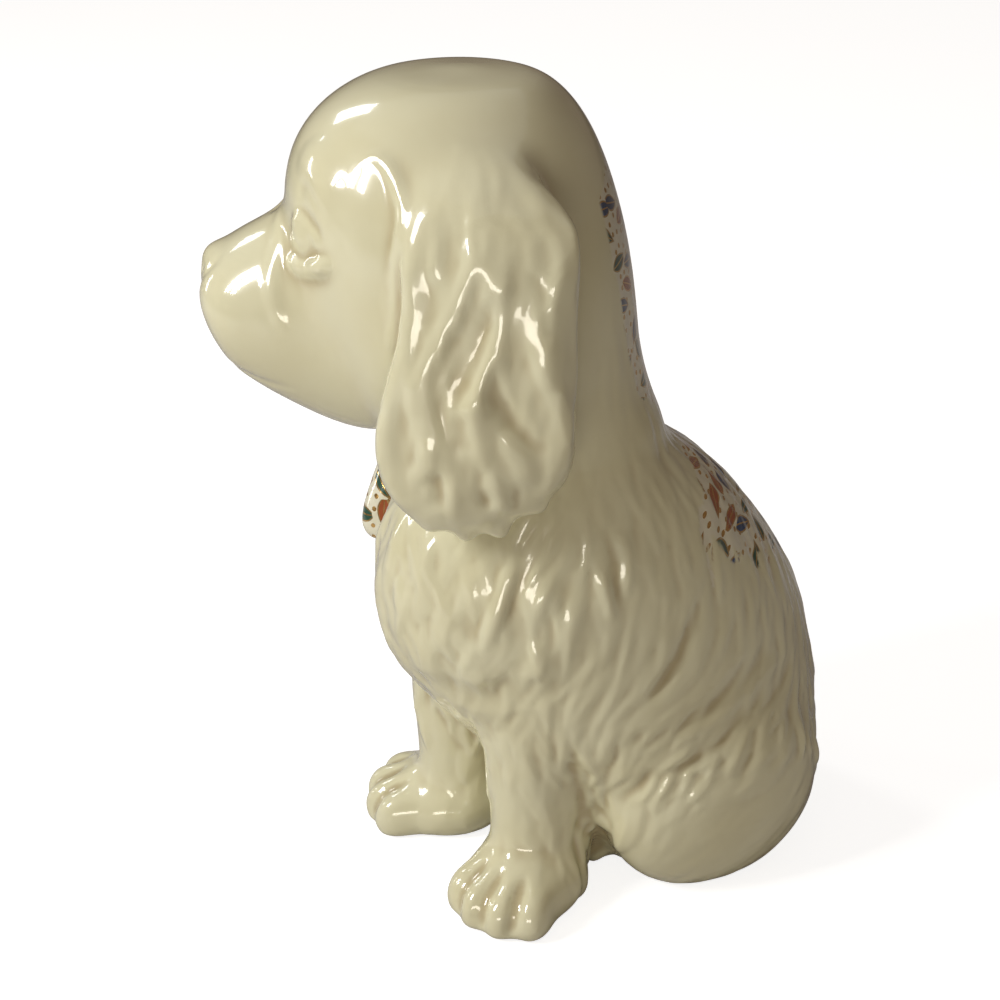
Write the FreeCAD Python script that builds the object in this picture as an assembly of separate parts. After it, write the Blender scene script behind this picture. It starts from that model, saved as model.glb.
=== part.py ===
import FreeCAD, Part
import math
import os
from FreeCAD import Matrix, Rotation, Vector

# A seated spaniel puppy in cream glazed earthenware, about 13 cm high. It is a hollow slip casting:
# the body, the head, both ears, the legs, the thighs, the hind paws and the tail come out of
# separate plaster moulds and are luted together with slip before the firing. The pour hole in the
# seat is closed by a soft stopper, the one piece that comes off. Sizes are in millimetres.
# The puppy looks along -Y, its left side is +X, and the origin lies on the ground under the belly.

# Body casting
torso_height = 76.0           # ground to the neck seam
torso_depth = 80.0            # chest to rump
torso_width = 58.0
wall = 3.5                    # thickness of the slip casting
floor_thickness = 4.5         # of the seat, round the pour hole

# Neck seam, an oval on the top of the body casting
neck_length = 37.0
neck_width = 36.0
neck_forward = 12.0           # from the origin to the middle of the neck

# Head casting
head_height = 57.5            # neck seam to the top of the skull
head_length = 51.0            # forehead to the back of the skull
head_width = 47.0
head_turn = 30.0              # degrees, to the puppy's right
muzzle_length = 13.7          # forehead to the front of the upper lip
muzzle_height = 36.0          # neck seam to the bridge of the nose
muzzle_width = 27.0

# Nose and eyes, modelled on the head casting
nose_width = 8.4
nose_length = 5.6
nose_height = 6.0
nose_drop = 8.7               # bridge of the nose to the middle of its tip
nose_level = muzzle_height - nose_drop
eye_width = 4.6
eye_length = 7.0
eye_height = 5.6
eye_drop = 0.5                # bridge of the nose to the middle of the eye
eye_level = muzzle_height - eye_drop
eye_forward = 32.6            # middle of the neck to the middle of the eye
eye_spacing = 22.0

# Left ear, hanging straight down
ear_length = 53.5
ear_width = 28.0
ear_thickness = 9.5
ear_drop = 8.5                # top of the skull to the root of the ear
ear_forward = 8.0             # middle of the neck to the middle of the ear's width
ear_stand = 1.5               # side of the head to the middle of the ear's thickness
ear_top = head_height - ear_drop
ear_out = head_width / 2.0 + ear_stand

# Right ear, draped forward on the chest
draped_ear_length = 76.0
draped_ear_width = 25.0
draped_ear_forward = 8.0
draped_ear_stand = 0.5
draped_ear_out = head_width / 2.0 + draped_ear_stand

# Wavy locks that stand out on the outer face of each ear
ear_lock_width = 4.4
ear_lock_proud = 1.2

# Forelegs
foreleg_forward = 17.8        # origin to the middle of the leg
foreleg_width = 15.0
foreleg_gap = 8.4             # between the two legs
foreleg_spacing = foreleg_width + foreleg_gap
foreleg_depth = 19.0          # front to back, with the feathering
foreleg_height = 52.0         # up to where it is luted under the chest
forepaw_length = 23.0
forepaw_width = 19.5
forepaw_height = 11.5
forepaw_reach = 3.5           # by which the paw's middle lies before the leg's
forepaw_splay = 1.8           # by which the paw's middle lies outside the leg's
forepaw_forward = foreleg_forward + forepaw_reach
forepaw_spacing = foreleg_spacing + 2.0 * forepaw_splay
forepaw_turn = 28.0           # degrees, toes outward
foreleg_stagger = 1.8         # by which the right foreleg stands further forward
toe_width = 5.8
toe_length = 9.6
toe_height = 8.6
pad_share = 0.36              # of a paw's or a toe's height, from the ground to where it is widest

# Thighs
thigh_length = 40.5
thigh_height = 37.0
thigh_thickness = 20.5
thigh_inset = 9.0             # side of the body to the middle of the thigh
thigh_back = 9.2              # origin to the middle of the thigh
thigh_flat = 2.0              # depth by which the ground flattens the bulge
thigh_spacing = torso_width - 2.0 * thigh_inset
thigh_level = thigh_height / 2.0 - thigh_flat
thigh_tilt = 9.0              # degrees, knee down

# Hind paws, tucked between the thighs and the forelegs
hind_paw_length = 18.0
hind_paw_width = 11.0
hind_paw_height = 9.0
hind_paw_gap = 2.4            # between the two paws
hind_paw_inset = 2.2          # front of the seat to the middle of the paw
hind_paw_turn = 12.0          # degrees, toes outward

# Tail, lying on the ground round the right thigh
tail_thickness = 11.0
tail_stand_share = 0.25       # of its thickness, side of the thigh to the middle of the tail
tail_root_share = 0.45        # of the body's depth, origin to the root of the tail
tail_turn_radius = (thigh_spacing + thigh_thickness) / 2.0 + tail_stand_share * tail_thickness
tail_back = tail_root_share * torso_depth - tail_turn_radius
tail_start = 90.0             # degrees round the curl, from the puppy's left
tail_end = 182.0

# Tufts of hair that stand out on the chest
tuft_width = 6.2
tuft_length = 14.0
tuft_thickness = 5.0
tuft_proud = 0.9
tuft_pitch = 7.9              # between the middles of two tufts of a row

# Pour hole, with a recess round it for the flange of the stopper
vent_radius = 7.0
vent_back = 15.0              # origin to the middle of the hole
vent_ledge = 3.0              # edge of the hole to the side of the recess
vent_recess_radius = vent_radius + vent_ledge
vent_recess_depth = 1.9

# Stopper of soft plastic: a dished flange and a hollow stem with raised rings that grip the hole
stopper_clearance = 0.08      # rings to the hole, and flange to the ceiling of the recess
stopper_rim_gap = 0.4         # flange to the side of the recess
stopper_flange_thickness = 1.3
stopper_dish_radius = 5.5
stopper_dish_depth = 0.5
stopper_stem_length = 10.0
stopper_wall = 1.6
stopper_ring_height = 0.6
stopper_ring_width = 1.4
stopper_rings = 3

overrun = 2.0                 # by which a cutting solid runs past what it cuts
ring_points = 16

# Each row: height, front, back and half width, as shares of the torso's height, depth, depth and width
TORSO_RING_SHARES = (
    (0.00, 0.07, 0.385, 0.385),
    (0.05, 0.11, 0.43, 0.44),
    (0.14, 0.17, 0.465, 0.475),
    (0.27, 0.25, 0.470, 0.485),
    (0.40, 0.365, 0.464, 0.47),
    (0.51, 0.445, 0.443, 0.45),
    (0.62, 0.487, 0.403, 0.43),
    (0.73, 0.492, 0.338, 0.41),
    (0.83, 0.469, 0.265, 0.385),
    (0.92, 0.429, 0.178, 0.355),
)

# Each row: height, front, back and half width, as shares of the head's height, length, length and width
SKULL_RING_SHARES = (
    (0.11, 0.56, 0.33, 0.42),
    (0.25, 0.66, 0.285, 0.47),
    (0.39, 0.71, 0.265, 0.50),
    (0.53, 0.74, 0.24, 0.51),
    (0.67, 0.75, 0.20, 0.49),
    (0.79, 0.72, 0.15, 0.44),
    (0.895, 0.63, 0.08, 0.355),
    (0.965, 0.48, -0.02, 0.23),
)
skull_crown_share = 0.245     # of the head's length, from the middle of the neck forward to the crown
forehead_share = 0.745        # of the head's length, from the middle of the neck to the forehead

# Each row: place before the forehead, lower edge, upper edge and half width, as shares of the
# muzzle's length, height, height and width
MUZZLE_RING_SHARES = (
    (-1.00, 0.03, 1.00, 0.52),
    (-0.45, 0.05, 1.01, 0.52),
    (0.00, 0.135, 1.00, 0.50),
    (0.36, 0.215, 0.94, 0.475),
    (0.64, 0.31, 0.87, 0.415),
    (0.87, 0.45, 0.80, 0.31),
)
MUZZLE_TIP_SHARES = (0.985, 0.62)

# Each row: place down the ear, shift forward, width, distance out and thickness, as shares of the
# ear's length, width, width, distance out and thickness
EAR_RING_SHARES = (
    (0.00, 0.00, 0.36, 0.68, 0.74),
    (0.075, 0.00, 0.70, 0.82, 0.84),
    (0.17, -0.03, 0.86, 0.93, 0.89),
    (0.36, -0.05, 0.87, 0.99, 0.89),
    (0.55, -0.01, 0.95, 1.02, 0.95),
    (0.72, 0.03, 1.02, 1.02, 1.00),
    (0.86, 0.05, 0.94, 1.00, 1.00),
    (0.945, 0.10, 0.66, 0.98, 0.84),
    (1.00, 0.14, 0.30, 0.96, 0.53),
)
DRAPED_EAR_RING_SHARES = (
    (0.00, 0.00, 0.40, 0.71, 0.74),
    (0.055, 0.01, 0.74, 0.85, 0.84),
    (0.12, 0.00, 0.95, 0.97, 0.89),
    (0.27, -0.02, 0.97, 1.03, 0.89),
    (0.42, 0.00, 0.98, 1.03, 0.95),
    (0.55, 0.04, 1.00, 1.02, 1.00),
    (0.70, 0.16, 1.00, 0.94, 1.00),
    (0.83, 0.34, 0.94, 0.82, 0.95),
    (0.92, 0.54, 0.76, 0.72, 0.84),
    (1.00, 0.70, 0.36, 0.64, 0.53),
)

# Each lock of an ear: where it starts and ends, as shares of the ear's length, and its places
# across the ear at even steps between, as shares of the half width there, forward positive
EAR_LOCK_SHARES = (
    (0.05, 0.92, (0.80, 0.84, 0.84, 0.86, 0.86, 0.72)),
    (0.03, 0.88, (0.45, 0.16, 0.50, 0.62, 0.42, 0.08)),
    (0.06, 0.84, (-0.08, 0.02, -0.12, 0.02, 0.02, -0.20)),
    (0.07, 0.86, (-0.72, -0.84, -0.58, -0.70, -0.84, -0.78)),
)
# Thickness along an ear's lock, as shares of its greatest width and height
EAR_LOCK_THICKNESS_SHARES = (0.55, 0.85, 1.00, 1.00, 0.95, 0.65)

# Rows of chest tufts: height, as a share of the torso's, and places round the chest from its
# front, in pitches of the row, to one side; the other side has the same
CHEST_TUFT_ROWS = (
    (0.60, (0.0, 1.0, 2.0, 3.0)),
    (0.70, (0.5, 1.5, 2.5, 3.5)),
    (0.80, (0.0, 1.0, 2.0, 3.0)),
)

# Each row: height, shift forward, half width and half depth, as shares of the foreleg's height,
# depth, width and depth
FORELEG_RING_SHARES = (
    (0.10, 0.04, 0.50, 0.47),
    (0.23, 0.03, 0.46, 0.44),
    (0.38, 0.03, 0.47, 0.46),
    (0.58, 0.04, 0.51, 0.50),
    (0.78, 0.03, 0.56, 0.54),
    (1.00, 0.00, 0.60, 0.60),
)

# Each row: place across and forward, as shares of the paw's width and length
TOE_PLACE_SHARES = (
    (-0.33, 0.34),
    (-0.12, 0.43),
    (0.12, 0.43),
    (0.34, 0.32),
)

# Thickness along the tail, as shares of its greatest thickness
TAIL_THICKNESS_SHARES = (0.72, 0.90, 1.00, 0.98, 0.88, 0.72, 0.48)
tail_tip_share = 0.30         # height of the tip, of the tail's thickness


def oval(centre, along, across, half_along, half_across):
    """A closed smooth oval about centre, with its two half sizes along two unit directions."""
    points = []
    for step in range(ring_points):
        angle = 2.0 * math.pi * step / ring_points
        offset = along * (half_along * math.cos(angle)) + across * (half_across * math.sin(angle))
        points.append(centre + offset)
    curve = Part.BSplineCurve()
    curve.interpolate(Points=points, PeriodicFlag=True)
    return Part.Wire([curve.toShape()])


def level_oval(height, front, back, half_width):
    """A level oval on the middle plane, from y = -front to y = back."""
    centre = Vector(0, (back - front) / 2.0, height)
    return oval(centre, Vector(0, -1, 0), Vector(1, 0, 0), (front + back) / 2.0, half_width)


def upright_oval(forward, low, high, half_width):
    """An upright oval across the middle plane, at y = -forward."""
    centre = Vector(0, -forward, (low + high) / 2.0)
    return oval(centre, Vector(0, 0, 1), Vector(1, 0, 0), (high - low) / 2.0, half_width)


def skin(sections):
    """The smooth solid through a row of ovals, pointed where an end is a vertex."""
    return Part.makeLoft(sections, True, False)


def ellipsoid(centre, width, length, height, turn=0.0, pitch=0.0):
    """An ellipsoid sized along X, Y and Z, pitched about X and then turned about Z, in degrees."""
    scale = Matrix()
    scale.scale(width / 2.0, length / 2.0, height / 2.0)
    solid = Part.makeSphere(1.0).transformGeometry(scale)
    solid.rotate(Vector(0, 0, 0), Vector(1, 0, 0), pitch)
    solid.rotate(Vector(0, 0, 0), Vector(0, 0, 1), turn)
    solid.translate(centre)
    return solid


def mirrored(solid):
    """The same piece for the other side of the puppy."""
    return solid.mirror(Vector(0, 0, 0), Vector(1, 0, 0))


def above_ground(solid):
    """What is left of a piece when its underside is ground flat."""
    box = solid.BoundBox
    depth = max(-box.ZMin, 0.0) + overrun
    corner = Vector(box.XMin - overrun, box.YMin - overrun, -depth)
    ground = Part.makeBox(box.XLength + 2.0 * overrun, box.YLength + 2.0 * overrun, depth, corner)
    return solid.cut(ground)


def fitted(solid, neighbours):
    """A piece cut to the faces that it is luted to; only its largest lump is kept."""
    for neighbour in neighbours:
        solid = solid.cut(neighbour)
    return max(solid.Solids, key=lambda lump: lump.Volume)


def between_rows(rows, share):
    """The values of a table of shares at a share, in proportion between its two nearest rows."""
    for below, above in zip(rows, rows[1:]):
        if share <= above[0]:
            break
    part = (share - below[0]) / (above[0] - below[0])
    return [low + part * (high - low) for low, high in zip(below[1:], above[1:])]


def torso_ring(height, inset):
    """The torso's oval at a height, drawn in by inset."""
    front, back, half = between_rows(TORSO_RING_SHARES, height / torso_height)
    front_edge = front * torso_depth - inset
    back_edge = back * torso_depth - inset
    return level_oval(height, front_edge, back_edge, half * torso_width - inset)


def neck_ring(height, inset):
    """The oval of the neck seam, drawn in by inset."""
    front = neck_length / 2.0 + neck_forward - inset
    back = neck_length / 2.0 - neck_forward - inset
    return level_oval(height, front, back, neck_width / 2.0 - inset)


def torso_skin(floor, inset):
    """The body from a level floor up to the neck seam, drawn in by inset."""
    rings = [torso_ring(floor, inset)]
    for row in TORSO_RING_SHARES:
        height = row[0] * torso_height
        if height > floor + wall / 2.0:
            rings.append(torso_ring(height, inset))
    rings.append(neck_ring(torso_height, inset))
    return skin(rings)


def chest_tuft(level, pitches):
    """One tuft of hair on the chest, so many pitches round from the front, lying on the slope."""
    front, back, half = between_rows(TORSO_RING_SHARES, level)
    deep = (front + back) * torso_depth / 2.0
    wide = half * torso_width
    angle = pitches * tuft_pitch / wide
    across = wide * math.sin(angle)
    forward = deep * math.cos(angle) - (back - front) * torso_depth / 2.0
    outward = Vector(deep * math.sin(angle), -wide * math.cos(angle), 0).normalize()
    step = tuft_length / torso_height / 2.0
    above = between_rows(TORSO_RING_SHARES, level + step)[0]
    below = between_rows(TORSO_RING_SHARES, level - step)[0]
    pitch = math.degrees(math.atan2((above - below) * torso_depth, tuft_length))
    turn = math.degrees(math.atan2(outward.x, -outward.y))
    middle = Vector(across, -forward, level * torso_height) - outward * (tuft_thickness / 2.0 - tuft_proud)
    return ellipsoid(middle, tuft_width, tuft_thickness, tuft_length, turn, pitch)


def body_skin():
    """The outside of the body casting with the tufts of its chest."""
    tufts = []
    for level, places in CHEST_TUFT_ROWS:
        for pitches in places:
            tufts.append(chest_tuft(level, pitches))
            if pitches > 0:
                tufts.append(chest_tuft(level, -pitches))
    return torso_skin(0.0, 0.0).fuse(tufts)


def placed_on_neck(solid):
    """Turns a piece of the head to the puppy's right and sets it on the neck seam."""
    solid.rotate(Vector(0, 0, 0), Vector(0, 0, 1), -head_turn)
    solid.translate(Vector(0, -neck_forward, torso_height))
    return solid


def head_skin(inset):
    """Skull and muzzle over the neck seam, looking along -Y, drawn in by inset."""
    height = head_height - inset
    half_length = neck_length / 2.0 - inset
    rings = [level_oval(0, half_length, half_length, neck_width / 2.0 - inset)]
    for level, front, back, half in SKULL_RING_SHARES:
        front_edge = front * head_length - inset
        back_edge = back * head_length - inset
        rings.append(level_oval(level * height, front_edge, back_edge, half * head_width - inset))
    rings.append(Part.Vertex(0, -skull_crown_share * head_length, height))
    skull = skin(rings)
    forehead = forehead_share * head_length
    length = muzzle_length - inset
    rings = []
    for place, low, high, half in MUZZLE_RING_SHARES:
        forward = forehead + place * length
        low_edge = low * muzzle_height + inset
        high_edge = high * muzzle_height - inset
        rings.append(upright_oval(forward, low_edge, high_edge, half * muzzle_width - inset))
    tip = forehead + MUZZLE_TIP_SHARES[0] * length
    rings.append(Part.Vertex(0, -tip, MUZZLE_TIP_SHARES[1] * muzzle_height))
    return skull.fuse(skin(rings))


def face():
    """Nose and eyes, which stand out from the head casting."""
    nose_forward = forehead_share * head_length + muzzle_length - nose_length / 2.0
    pieces = [ellipsoid(Vector(0, -nose_forward, nose_level), nose_width, nose_length, nose_height)]
    for side in (-1, 1):
        centre = Vector(side * eye_spacing / 2.0, -eye_forward, eye_level)
        pieces.append(ellipsoid(centre, eye_width, eye_length, eye_height, side * head_turn))
    return pieces


def ear_locks(side, rows, length, width, forward, out):
    """The long locks on the outer face of an ear."""
    locks = []
    for start, end, places in EAR_LOCK_SHARES:
        rings = []
        for step, across in enumerate(places):
            down = start + (end - start) * step / (len(places) - 1)
            shift, wide, away, thick = between_rows(rows, down)
            bulge = thick * ear_thickness / 2.0 * math.sqrt(1.0 - across * across)
            place = forward + shift * width + across * wide * width / 2.0
            middle = Vector(side * (away * out + bulge), -place, ear_top - down * length)
            half_width = EAR_LOCK_THICKNESS_SHARES[step] * ear_lock_width / 2.0
            half_height = EAR_LOCK_THICKNESS_SHARES[step] * ear_lock_proud
            rings.append(oval(middle, Vector(0, -1, 0), Vector(1, 0, 0), half_width, half_height))
        locks.append(skin(rings))
    return locks


def ear(side, rows, length, width, forward, out):
    """An ear flap hanging from ear_top, on the left for side 1 and on the right for side -1."""
    rings = []
    for down, shift, wide, away, thick in rows:
        centre = Vector(side * away * out, -(forward + shift * width), ear_top - down * length)
        half_width = wide * width / 2.0
        half_thickness = thick * ear_thickness / 2.0
        rings.append(oval(centre, Vector(0, -1, 0), Vector(1, 0, 0), half_width, half_thickness))
    solid = skin(rings).fuse(ear_locks(side, rows, length, width, forward, out))
    return placed_on_neck(solid)


def pad(place, width, length, height, turn):
    """A rounded paw or toe that stands on the ground, widest at a share of its height."""
    centre = place + Vector(0, 0, pad_share * height)
    return ellipsoid(centre, width, length, 2.0 * (1.0 - pad_share) * height, turn)


def left_foreleg_raw():
    """The left foreleg: a feathered column on a paw with four toes, turned outward."""
    rings = []
    for level, shift, half_width, half_depth in FORELEG_RING_SHARES:
        forward = foreleg_forward + shift * foreleg_depth
        centre = Vector(foreleg_spacing / 2.0, -forward, level * foreleg_height)
        wide = half_width * foreleg_width
        deep = half_depth * foreleg_depth
        rings.append(oval(centre, Vector(0, -1, 0), Vector(1, 0, 0), deep, wide))
    middle = Vector(forepaw_spacing / 2.0, -forepaw_forward, 0)
    paw = [pad(middle, forepaw_width, forepaw_length, forepaw_height, forepaw_turn)]
    turn = Rotation(Vector(0, 0, 1), forepaw_turn)
    for across, forward in TOE_PLACE_SHARES:
        place = middle + turn.multVec(Vector(across * forepaw_width, -forward * forepaw_length, 0))
        paw.append(pad(place, toe_width, toe_length, toe_height, (1.0 + across) * forepaw_turn))
    return above_ground(skin(rings).fuse(paw))


def right_foreleg_raw():
    """The right foreleg, set a little further forward."""
    solid = mirrored(left_foreleg_raw())
    solid.translate(Vector(0, -foreleg_stagger, 0))
    return solid


def left_thigh_raw():
    """The left thigh: the bulge of the folded hind leg, knee down."""
    centre = Vector(thigh_spacing / 2.0, thigh_back, thigh_level)
    return above_ground(ellipsoid(centre, thigh_thickness, thigh_length, thigh_height, 0.0, -thigh_tilt))


def left_hind_paw_raw():
    """The left hind paw, a plain pad that shows a little behind the foreleg."""
    seat_front = TORSO_RING_SHARES[0][1] * torso_depth
    spacing = hind_paw_width + hind_paw_gap
    place = Vector(spacing / 2.0, -(seat_front - hind_paw_inset), 0)
    return above_ground(pad(place, hind_paw_width, hind_paw_length, hind_paw_height, hind_paw_turn))


def tail_raw():
    """The tail, tapering along a level curl with its underside on the ground."""
    rings = []
    steps = len(TAIL_THICKNESS_SHARES)
    for step, share in enumerate(TAIL_THICKNESS_SHARES):
        angle = math.radians(tail_start + (tail_end - tail_start) * step / steps)
        radius = share * tail_thickness / 2.0
        outward = Vector(math.cos(angle), math.sin(angle), 0)
        centre = Vector(0, tail_back, radius) + outward * tail_turn_radius
        rings.append(oval(centre, Vector(0, 0, 1), outward, radius, radius))
    end = math.radians(tail_end)
    tip = Vector(math.cos(end), math.sin(end), 0) * tail_turn_radius + Vector(0, tail_back, 0)
    rings.append(Part.Vertex(tip.x, tip.y, tail_tip_share * tail_thickness))
    return skin(rings)


def disc(radius, low, high):
    """An upright cylinder on the axis of the pour hole."""
    return Part.makeCylinder(radius, high - low, Vector(0, vent_back, low))


def stopper():
    """The stopper, seated by its flange in the recess, its stem in the pour hole."""
    ceiling = vent_recess_depth - stopper_clearance
    bottom = ceiling - stopper_flange_thickness
    grip = vent_radius - stopper_clearance
    stem = grip - stopper_ring_height
    top = ceiling + stopper_stem_length
    flange = disc(vent_recess_radius - stopper_rim_gap, bottom, ceiling)
    solid = flange.fuse(disc(stem, bottom, top))
    pitch = (floor_thickness - vent_recess_depth) / stopper_rings
    for number in range(stopper_rings):
        low = ceiling + stopper_clearance + number * (pitch + stopper_ring_width / 2.0)
        solid = solid.fuse(disc(grip, low, low + stopper_ring_width))
    solid = solid.cut(disc(stem - stopper_wall, ceiling, top + overrun))
    return solid.cut(disc(stopper_dish_radius, bottom - overrun, bottom + stopper_dish_depth))


def pieces():
    """Every piece under its own name, each cut to the ones that it is luted to."""
    body = body_skin()
    head = placed_on_neck(head_skin(0.0).fuse(face()))
    left_foreleg = fitted(left_foreleg_raw(), [body])
    right_foreleg = fitted(right_foreleg_raw(), [body])
    left_thigh = fitted(left_thigh_raw(), [body, left_foreleg])
    right_thigh = fitted(mirrored(left_thigh_raw()), [body, right_foreleg])
    hollow = torso_skin(floor_thickness, wall)
    hole = disc(vent_radius, -overrun, floor_thickness + overrun)
    recess = disc(vent_recess_radius, -overrun, vent_recess_depth)
    left_ear = ear(1, EAR_RING_SHARES, ear_length, ear_width, ear_forward, ear_out)
    right_ear = ear(-1, DRAPED_EAR_RING_SHARES, draped_ear_length, draped_ear_width,
                    draped_ear_forward, draped_ear_out)
    return {
        "torso": body.cut([hollow, hole, recess]),
        "head": head.cut(placed_on_neck(head_skin(wall))),
        "left_ear": fitted(left_ear, [head, body]),
        "right_ear": fitted(right_ear, [head, body]),
        "left_foreleg": left_foreleg,
        "right_foreleg": right_foreleg,
        "left_thigh": left_thigh,
        "right_thigh": right_thigh,
        "left_hind_paw": fitted(left_hind_paw_raw(), [body, left_foreleg, left_thigh]),
        "right_hind_paw": fitted(mirrored(left_hind_paw_raw()), [body, right_foreleg, right_thigh]),
        "tail": fitted(tail_raw(), [body, right_thigh]),
        "stopper": stopper(),
    }


os.makedirs("parts", exist_ok=True)
for name, shape in pieces().items():
    shape.exportStep("parts/" + name + ".step")
    print(name, "valid", shape.isValid(), "solids", len(shape.Solids), "volume", round(shape.Volume))
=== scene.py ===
import math
import bpy
import numpy as np
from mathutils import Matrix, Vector
from mathutils.bvhtree import BVHTree
from mathutils.kdtree import KDTree


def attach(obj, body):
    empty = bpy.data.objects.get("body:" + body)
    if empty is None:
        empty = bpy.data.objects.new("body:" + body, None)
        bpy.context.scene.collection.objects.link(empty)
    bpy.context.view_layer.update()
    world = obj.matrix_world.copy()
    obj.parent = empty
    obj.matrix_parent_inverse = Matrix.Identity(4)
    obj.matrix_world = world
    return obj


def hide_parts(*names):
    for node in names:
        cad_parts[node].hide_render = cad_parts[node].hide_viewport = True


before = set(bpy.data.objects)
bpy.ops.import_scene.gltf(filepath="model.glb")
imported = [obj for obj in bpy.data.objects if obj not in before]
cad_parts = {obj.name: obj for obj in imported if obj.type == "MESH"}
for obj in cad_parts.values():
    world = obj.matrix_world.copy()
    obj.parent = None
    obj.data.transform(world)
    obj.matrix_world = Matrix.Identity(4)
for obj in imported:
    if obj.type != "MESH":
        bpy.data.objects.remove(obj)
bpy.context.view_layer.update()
scene = bpy.context.scene
mm = 0.001

# The stage: the figure stands on a white sheet, seen from its left side and from above, close by.
# A tall window with two panes stands before its chest, a second window and a doorway are on its far
# side, and the room is dim and brown.
camera_azimuth = math.radians(63.0)
camera_elevation = math.radians(26.0)
camera_distance = 310.0 * mm
camera_target = Vector((-11.0, -14.0, 60.0)) * mm
focal_length = 68.58

towards_camera = Vector((math.cos(camera_elevation) * math.sin(camera_azimuth),
                         -math.cos(camera_elevation) * math.cos(camera_azimuth),
                         math.sin(camera_elevation)))
camera = bpy.data.objects.new("camera", bpy.data.cameras.new("camera"))
scene.collection.objects.link(camera)
camera.data.lens = focal_length
camera.data.sensor_width = 36.0
camera.location = camera_target + camera_distance * towards_camera
camera.rotation_euler = towards_camera.to_track_quat("Z", "Y").to_euler()
scene.camera = camera
scene.view_settings.view_transform = "Standard"

sheet_size = 8.0
sheet_drop = 0.02 * mm
bpy.ops.mesh.primitive_plane_add(size=sheet_size, location=(0, 0, -sheet_drop))
sheet = bpy.context.active_object
sheet.name = "sheet"
paper = bpy.data.materials.new("paper")
paper.use_nodes = True
nodes, links = paper.node_tree.nodes, paper.node_tree.links
paper_diffuse = nodes["Principled BSDF"]
paper_diffuse.inputs["Base Color"].default_value = (0.54, 0.53, 0.52, 1.0)
paper_diffuse.inputs["Roughness"].default_value = 0.9
paper_glow = nodes.new("ShaderNodeEmission")
paper_glow.inputs["Strength"].default_value = 0.84
paper_sum = nodes.new("ShaderNodeAddShader")
paper_mix = nodes.new("ShaderNodeMixShader")
paper_path = nodes.new("ShaderNodeLightPath")
links.new(paper_diffuse.outputs[0], paper_sum.inputs[0])
links.new(paper_glow.outputs[0], paper_sum.inputs[1])
links.new(paper_path.outputs["Is Camera Ray"], paper_mix.inputs[0])
links.new(paper_diffuse.outputs[0], paper_mix.inputs[1])
links.new(paper_sum.outputs[0], paper_mix.inputs[2])
links.new(paper_mix.outputs[0], nodes["Material Output"].inputs["Surface"])
sheet.data.materials.append(paper)

room = bpy.data.worlds.new("room")
room.use_nodes = True
scene.world = room
nodes, links = room.node_tree.nodes, room.node_tree.links
room_light = nodes["Background"]
room_light.inputs["Color"].default_value = (1.0, 0.76, 0.56, 1.0)
room_light.inputs["Strength"].default_value = 0.145
backdrop = nodes.new("ShaderNodeBackground")
backdrop.inputs["Color"].default_value = (1.0, 1.0, 1.0, 1.0)
backdrop.inputs["Strength"].default_value = 1.0
room_path = nodes.new("ShaderNodeLightPath")
room_mix = nodes.new("ShaderNodeMixShader")
links.new(room_path.outputs["Is Camera Ray"], room_mix.inputs[0])
links.new(room_light.outputs[0], room_mix.inputs[1])
links.new(backdrop.outputs[0], room_mix.inputs[2])
links.new(room_mix.outputs[0], nodes["World Output"].inputs["Surface"])


def lamp(name, place, size_x, size_y, watts, colour):
    """A soft window-like lamp that looks at the figure."""
    light = bpy.data.lights.new(name, "AREA")
    light.shape = "RECTANGLE"
    light.size = size_x
    light.size_y = size_y
    light.energy = watts
    light.color = colour
    stand = bpy.data.objects.new(name, light)
    stand.location = camera_target + Vector(place)
    stand.rotation_euler = Vector(place).to_track_quat("Z", "Y").to_euler()
    scene.collection.objects.link(stand)


# Each lamp: its place from the figure's middle, width, height, watts and colour
lamp("left_pane", (-0.04, -0.50, 0.33), 0.055, 0.22, 1.1, (1.0, 0.99, 0.96))
lamp("right_pane", (0.04, -0.50, 0.33), 0.055, 0.22, 1.1, (1.0, 0.99, 0.96))
lamp("far_window", (-0.42, -0.18, 0.42), 0.10, 0.20, 0.5, (0.96, 0.98, 1.0))
lamp("doorway", (-0.46, -0.42, 0.14), 0.04, 0.20, 0.22, (1.0, 0.99, 0.96))
lamp("ceiling", (0.0, 0.0, 0.8), 1.2, 1.2, 0.92, (0.97, 1.0, 1.0))
lamp("low_wall", (0.50, -0.33, -0.02), 0.3, 0.08, 0.55, (1.0, 0.93, 0.80))
lamp("room_side", (0.75, 0.25, 0.35), 0.8, 0.8, 0.08, (1.0, 0.76, 0.52))

# The castings as the maker joins them: body, head, ears, legs, thighs, paws and tail come leather
# hard out of their moulds, are luted together with slip, and the seams are wiped to soft fillets.
castings = ("torso", "head", "left_ear", "right_ear", "left_foreleg", "right_foreleg", "left_thigh",
            "right_thigh", "left_hind_paw", "right_hind_paw", "tail", "stopper")
weld_distance = 0.001 * mm
clay_voxel = 0.8 * mm
skin_voxel = 0.45 * mm


def selected(piece):
    """Makes a piece the only selected one and the active one."""
    bpy.ops.object.select_all(action="DESELECT")
    piece.select_set(True)
    bpy.context.view_layer.objects.active = piece
    return piece


def raw_casting(name):
    """A merged copy of a casting's solid."""
    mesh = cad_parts[name].data.copy()
    mesh.materials.clear()
    piece = bpy.data.objects.new("clay_" + name, mesh)
    scene.collection.objects.link(piece)
    selected(piece)
    bpy.ops.object.mode_set(mode="EDIT")
    bpy.ops.mesh.select_all(action="SELECT")
    bpy.ops.mesh.remove_doubles(threshold=weld_distance)
    bpy.ops.object.mode_set(mode="OBJECT")
    return piece


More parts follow.
